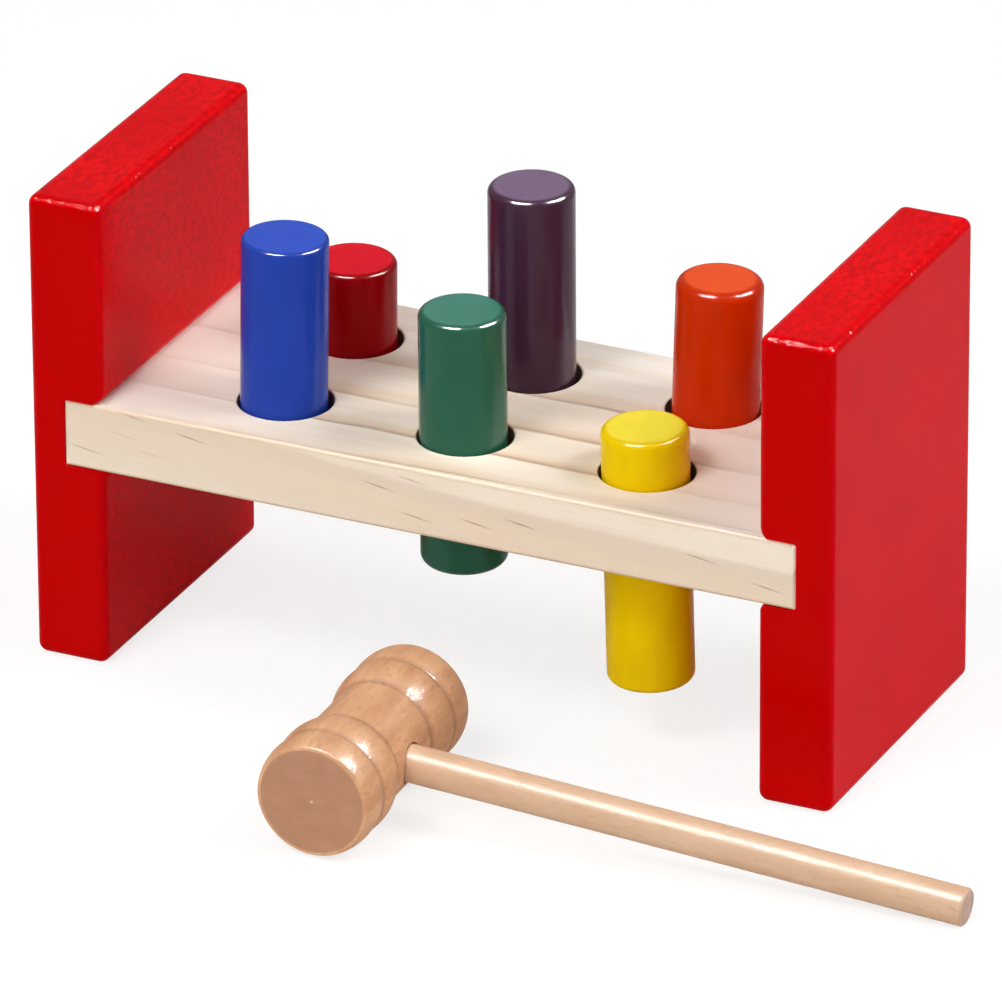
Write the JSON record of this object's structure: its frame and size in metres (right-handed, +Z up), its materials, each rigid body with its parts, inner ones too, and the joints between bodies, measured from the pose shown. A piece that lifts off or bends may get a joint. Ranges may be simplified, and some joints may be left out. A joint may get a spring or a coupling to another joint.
{
  "type": "peg pounding bench",
  "caption": "Wooden pounding bench: a drilled board between end panels holds coloured pegs that a turned mallet drives down; it turns over to start again.",
  "frame": {"origin": "on the floor, in the middle of the bounding box of the whole set, bench and mallet", "axes": "+X along the bench, from the blue peg's end to the yellow peg's; +Y towards the back row of pegs; +Z up"},
  "size_m": [0.2694, 0.1578, 0.125],
  "materials": {
    "pine": "pale pine, sanded, clear satin lacquer",
    "red_enamel": "glossy red enamel on wood",
    "blue_peg_enamel": "glossy blue enamel on a turned dowel",
    "green_peg_enamel": "glossy green enamel on a turned dowel",
    "yellow_peg_enamel": "glossy yellow enamel on a turned dowel",
    "red_peg_enamel": "glossy red enamel on a turned dowel",
    "purple_peg_enamel": "glossy dark purple enamel on a turned dowel",
    "orange_peg_enamel": "glossy orange enamel on a turned dowel",
    "rubber": "matt black rubber",
    "turned_beech": "lathe-turned beech, clear gloss lacquer",
    "dowel_beech": "beech dowel, clear gloss lacquer"
  },
  "bodies": {
    "bench": {"board": "pine", "left_end_panel": "red_enamel", "right_end_panel": "red_enamel", "blue_peg_ring": "rubber", "green_peg_ring": "rubber", "yellow_peg_ring": "rubber", "red_peg_ring": "rubber", "purple_peg_ring": "rubber", "orange_peg_ring": "rubber"},
    "blue_peg": {"blue_peg": "blue_peg_enamel"},
    "green_peg": {"green_peg": "green_peg_enamel"},
    "yellow_peg": {"yellow_peg": "yellow_peg_enamel"},
    "red_peg": {"red_peg": "red_peg_enamel"},
    "purple_peg": {"purple_peg": "purple_peg_enamel"},
    "orange_peg": {"orange_peg": "orange_peg_enamel"},
    "mallet": {"mallet_head": "turned_beech", "mallet_handle": "dowel_beech"}
  },
  "joints": [
    {"name": "blue_peg_slide", "type": "slide", "parent": "bench", "child": "blue_peg", "axis": [0.0166, 0.008, 0.9998], "range_m": [-0.0444, 0.00915]},
    {"name": "green_peg_slide", "type": "slide", "parent": "bench", "child": "green_peg", "axis": [-0.0025, -0.0012, 1], "range_m": [-0.0342, 0.01935]},
    {"name": "yellow_peg_slide", "type": "slide", "parent": "bench", "child": "yellow_peg", "axis": [-0.0209, -0.0098, 0.9997], "range_m": [-0.0123, 0.04125]},
    {"name": "red_peg_slide", "type": "slide", "parent": "bench", "child": "red_peg", "axis": [0.008, 0.0037, 1], "range_m": [-0.022, 0.03155]},
    {"name": "purple_peg_slide", "type": "slide", "parent": "bench", "child": "purple_peg", "axis": [-0.0006, 0, 1], "range_m": [-0.0513, 0.00225]},
    {"name": "orange_peg_slide", "type": "slide", "parent": "bench", "child": "orange_peg", "axis": [0.0264, 0.0123, 0.9996], "range_m": [-0.0355, 0.01805]},
    {"name": "mallet_lift", "type": "slide", "parent": "bench", "child": "mallet", "axis": [0, 0, 1], "range_m": [0, 0.15]}
  ]
}
